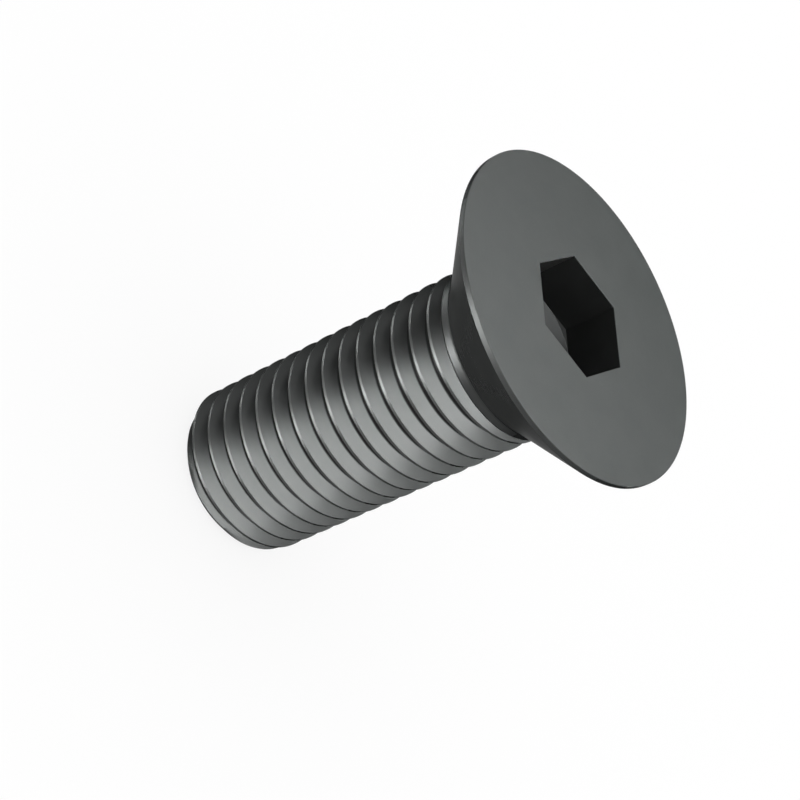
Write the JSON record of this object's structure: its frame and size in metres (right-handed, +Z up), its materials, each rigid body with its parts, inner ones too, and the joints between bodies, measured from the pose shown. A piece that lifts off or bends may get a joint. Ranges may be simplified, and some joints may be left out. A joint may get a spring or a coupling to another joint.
{
  "type": "countersunk socket screw",
  "caption": "Countersunk machine screw with a flat head, a hexagon socket and a coarse right-hand thread cut up to a short plain neck.",
  "frame": {"origin": "centre of the flat end of the thread, which the screw stands on", "axes": "+Z runs up the axis to the flat face of the head, and +X passes through one corner of the hexagon socket"},
  "size_m": [0.03, 0.03, 0.04],
  "materials": {
    "black_steel": "black oxide, satin, fine turning marks"
  },
  "bodies": {
    "root": {"screw": "black_steel"}
  },
  "joints": []
}
